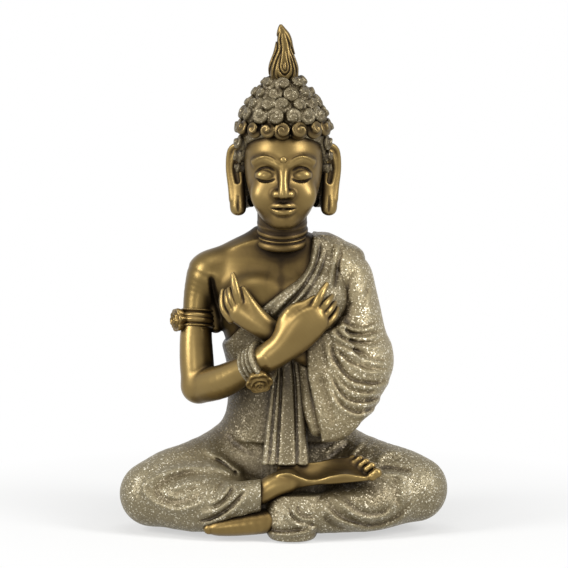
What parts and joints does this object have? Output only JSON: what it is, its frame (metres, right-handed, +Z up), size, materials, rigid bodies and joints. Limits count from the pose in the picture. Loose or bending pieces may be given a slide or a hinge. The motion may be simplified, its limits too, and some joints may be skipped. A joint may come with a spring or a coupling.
{
  "type": "buddha statue",
  "caption": "Seated figure in cast resin with crossed legs, wrists crossed before the chest, a pleated robe over one shoulder, snail-curl hair and a flame finial; stands on a felted base.",
  "frame": {"origin": "middle of the felt's lower face, on the surface the statue stands on", "axes": "+Z up, -Y towards the front of the figure, +X towards the figure's left arm"},
  "size_m": [0.1943, 0.1094, 0.3],
  "materials": {
    "gold": "satin",
    "glitter": "satin",
    "felt": "matte",
    "board": "matte",
    "dowel": "satin"
  },
  "bodies": {
    "root": {"base_felt": "felt", "base_board": "board", "robe_body": "glitter", "hem_panel": "glitter", "waist_sash": "glitter", "left_sleeve": "glitter", "torso": "gold", "right_arm": "gold", "right_hand": "gold", "left_hand": "gold", "right_foot": "gold", "left_foot": "gold", "armlet": "gold", "armlet_rose": "gold", "bracelet": "glitter", "bracelet_rose": "gold", "head": "gold", "urna": "gold", "hair_cap": "glitter", "hair_curls": "glitter", "hairline_curls": "gold", "flame_finial": "gold", "neck_dowel": "dowel", "arm_dowel": "dowel", "finial_dowel": "dowel"}
  },
  "joints": []
}
